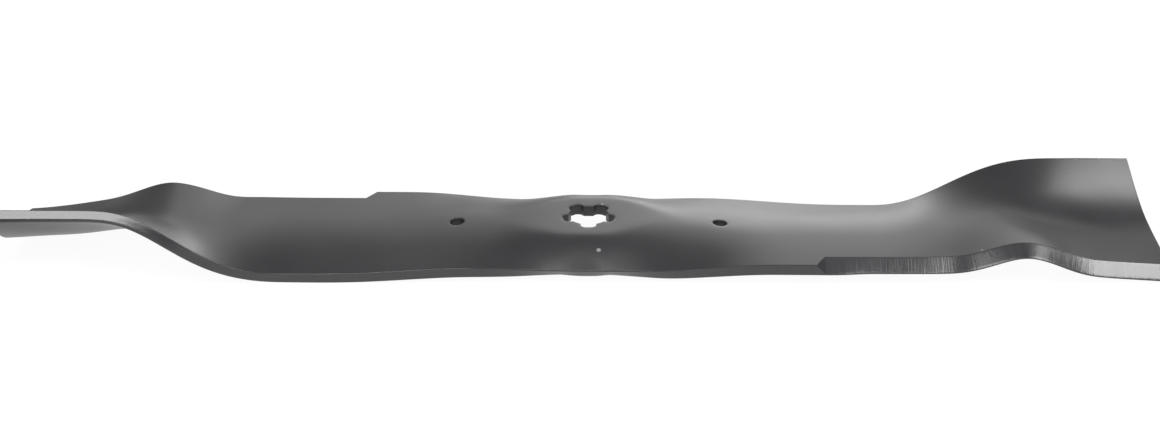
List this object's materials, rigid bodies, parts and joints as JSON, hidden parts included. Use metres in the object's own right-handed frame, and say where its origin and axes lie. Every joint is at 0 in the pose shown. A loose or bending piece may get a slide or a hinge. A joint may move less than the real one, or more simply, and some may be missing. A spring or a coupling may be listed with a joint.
{
  "type": "rotary mower blade",
  "caption": "Pressed steel rotary mower blade with a domed hub, a lobed star drive hole, drooping arms, ground cutting edges and raised wing tips.",
  "frame": {"origin": "centre of the star drive hole on the flat top face of the hub pad", "axes": "+Z along the spindle axis, towards the spindle; +X along the blade; the cutting edge of the +X arm faces -Y and that of the -X arm faces +Y"},
  "size_m": [0.5336, 0.08, 0.0336],
  "materials": {
    "blade_paint": "satin black paint over rolled steel, thin on the ground cutting edge"
  },
  "bodies": {
    "root": {"blade": "blade_paint"}
  },
  "joints": []
}
